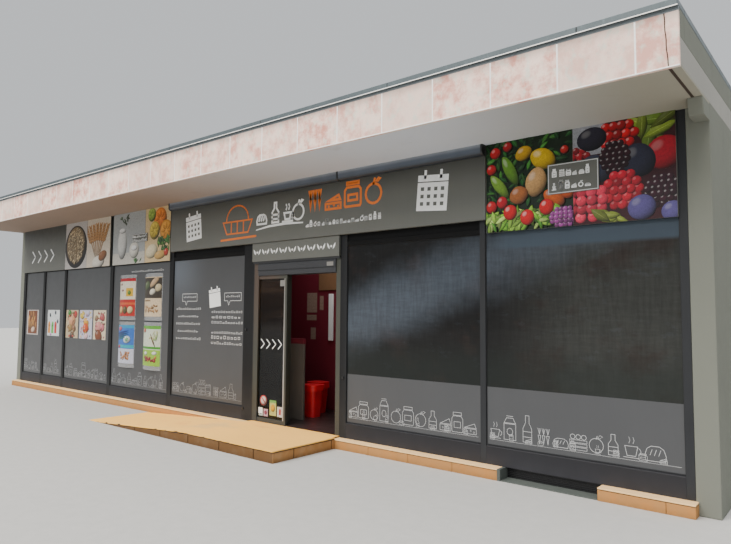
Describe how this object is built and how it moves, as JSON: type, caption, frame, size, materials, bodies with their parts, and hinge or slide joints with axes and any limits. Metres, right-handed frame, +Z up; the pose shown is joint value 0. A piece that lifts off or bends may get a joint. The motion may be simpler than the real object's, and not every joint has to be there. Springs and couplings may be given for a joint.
{
  "type": "supermarket building",
  "caption": "Single-storey street supermarket with a stone-clad canopy, glazed shopfront with picture panels, sliding automatic door and tiled ramp.",
  "frame": {"origin": "at pavement level under the middle of the building with its entrance platform", "axes": "+X along the shopfront to the right as seen from the street, +Y into the building, +Z up"},
  "size_m": [14.772, 13.2, 4.162],
  "materials": {
    "render": "painted cement render",
    "concrete": "plain cast concrete",
    "roof_membrane": "bitumen sheet with mineral chips",
    "soffit_plaster": "painted plaster",
    "pink_stone": "polished pink and white marble slabs",
    "coping_metal": "folded sheet, satin blue-grey",
    "beige_tile": "matt beige stoneware tiles",
    "grey_stone": "worn grey stone",
    "charcoal_frame": "powder-coated aluminium, satin",
    "window_glass": "clear float glass",
    "grey_panel": "satin composite panel",
    "picture_print": "printed vinyl on board",
    "lamp_plastic": "dark blue-grey lamp housing",
    "door_aluminium": "satin anodised",
    "operator_case": "anodised cover",
    "steel_fittings": "zinc-plated steel",
    "roller_nylon": "moulded nylon",
    "clear_acrylic": "bowed acrylic sheet",
    "red_wall": "dark red painted panel",
    "cabinet_grey": "grey-green painted sheet",
    "red_plastic": "moulded red plastic"
  },
  "bodies": {
    "building": {"back_wall": "render", "bin_bodies": "red_plastic", "bin_lids": "red_plastic", "canopy_soffit": "soffit_plaster", "door_header": "operator_case", "door_jambs": "door_aluminium", "door_operator": "operator_case", "door_threshold": "grey_stone", "entrance_landing": "beige_tile", "entrance_ramp": "beige_tile", "fascia_stone": "pink_stone", "floor_guide": "steel_fittings", "floor_slab": "concrete", "head_boards": "charcoal_frame", "lamp_collars": "lamp_plastic", "left_fascia_panel": "grey_panel", "left_party_wall": "render", "left_plinth": "beige_tile", "lintel_beam": "concrete", "lobby_screen": "cabinet_grey", "lobby_wall": "red_wall", "lock_knobs": "steel_fittings", "long_copings": "coping_metal", "long_parapets": "concrete", "picture_panels": "picture_print", "poster_holders": "clear_acrylic", "right_party_wall": "render", "right_plinth": "beige_tile", "riser_panels": "charcoal_frame", "roller_track": "steel_fittings", "roof_covering": "roof_membrane", "roof_slab": "concrete", "shop_windows": "window_glass", "shopfront_posts": "charcoal_frame", "side_copings": "coping_metal", "side_light_glass": "window_glass", "side_light_rails": "door_aluminium", "side_light_stile": "door_aluminium", "side_parapets": "concrete", "sign_lamp": "lamp_plastic", "sign_panel": "grey_panel", "soffit_block": "render", "transoms": "charcoal_frame", "vent_sill": "grey_stone", "welcome_panel": "grey_panel"},
    "door_leaf": {"leaf_rails": "door_aluminium", "leaf_stiles": "door_aluminium", "leaf_glass": "window_glass", "leaf_hangers": "steel_fittings", "leaf_rollers": "roller_nylon"}
  },
  "joints": [
    {"name": "door_slide", "type": "slide", "parent": "building", "child": "door_leaf", "axis": [1, 0, 0], "range_m": [0, 0.972]}
  ]
}
